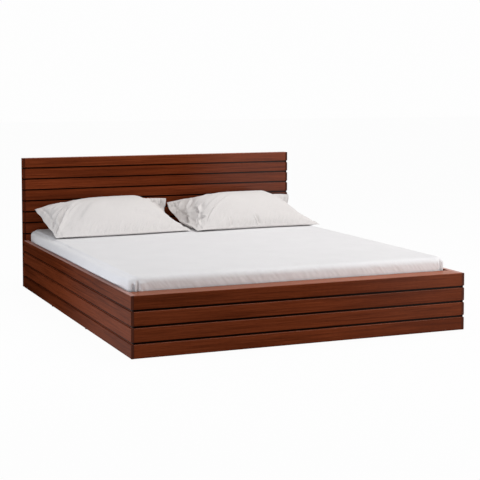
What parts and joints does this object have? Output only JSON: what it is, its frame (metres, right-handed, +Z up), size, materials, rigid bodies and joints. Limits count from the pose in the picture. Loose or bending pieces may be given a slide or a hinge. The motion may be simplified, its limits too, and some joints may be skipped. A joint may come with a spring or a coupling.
{
  "type": "double bed",
  "caption": "Low double bed of stained planks with shadow gaps: plain headboard, side panels, deep hollow footboard, decked base, mattress in a fitted sheet, and pillows.",
  "frame": {"origin": "on the floor under the middle of the bed's outline", "axes": "+Z up, +Y towards the headboard, +X to the right seen from the foot"},
  "size_m": [1.67, 2.06, 0.7512],
  "materials": {
    "stained_wood": "red-brown stained planks, fine straight grain, satin lacquer",
    "plywood": "plain sanded plywood",
    "plain_timber": "planed softwood",
    "zinc_steel": "bright zinc plated",
    "nylon": "moulded nylon",
    "mattress_ticking": "woven ticking over foam",
    "sheet_cotton": "smooth white cotton",
    "pillow_cotton": "smooth off-white cotton"
  },
  "bodies": {
    "frame": {"beam_hangers": "zinc_steel", "centre_beam": "plain_timber", "centre_leg_front": "plain_timber", "centre_leg_rear": "plain_timber", "corner_angles": "zinc_steel", "deck_board_1": "plywood", "deck_board_2": "plywood", "deck_board_3": "plywood", "deck_board_4": "plywood", "deck_ledge_left": "plain_timber", "deck_ledge_right": "plain_timber", "floor_glides": "nylon", "footboard_front_board": "plywood", "footboard_inner_board": "plywood", "footboard_plank_1": "stained_wood", "footboard_plank_2": "stained_wood", "footboard_plank_3": "stained_wood", "footboard_plank_4": "stained_wood", "footboard_post_left": "plain_timber", "footboard_post_right": "plain_timber", "footboard_rib": "plywood", "footboard_top_cap": "stained_wood", "headboard_back_panel": "plywood", "headboard_bottom_rail": "plain_timber", "headboard_end_planks_left": "stained_wood", "headboard_end_planks_right": "stained_wood", "headboard_lower_board": "plywood", "headboard_middle_rail": "plain_timber", "headboard_plank_01": "stained_wood", "headboard_plank_02": "stained_wood", "headboard_plank_03": "stained_wood", "headboard_plank_04": "stained_wood", "headboard_plank_05": "stained_wood", "headboard_plank_06": "stained_wood", "headboard_plank_07": "stained_wood", "headboard_plank_08": "stained_wood", "headboard_plank_09": "stained_wood", "headboard_post_left": "plain_timber", "headboard_post_right": "plain_timber", "headboard_top_rail": "plain_timber", "left_side_plank_1": "stained_wood", "left_side_plank_2": "stained_wood", "left_side_plank_3": "stained_wood", "left_side_plank_4": "stained_wood", "post_bolts": "zinc_steel", "rail_bolts": "zinc_steel", "right_side_plank_1": "stained_wood", "right_side_plank_2": "stained_wood", "right_side_plank_3": "stained_wood", "right_side_plank_4": "stained_wood", "side_rail_left": "stained_wood", "side_rail_right": "stained_wood"},
    "mattress": {"mattress": "mattress_ticking", "fitted_sheet": "sheet_cotton"},
    "pillow_left": {"pillow_left": "pillow_cotton"},
    "pillow_right": {"pillow_right": "pillow_cotton"}
  },
  "joints": [
    {"name": "mattress_lift", "type": "slide", "parent": "frame", "child": "mattress", "axis": [0, 0, 1], "range_m": [0, 0.15]},
    {"name": "pillow_left_lift", "type": "slide", "parent": "mattress", "child": "pillow_left", "axis": [0, 0, 1], "range_m": [0, 0.12]},
    {"name": "pillow_right_lift", "type": "slide", "parent": "mattress", "child": "pillow_right", "axis": [0, 0, 1], "range_m": [0, 0.12]}
  ]
}
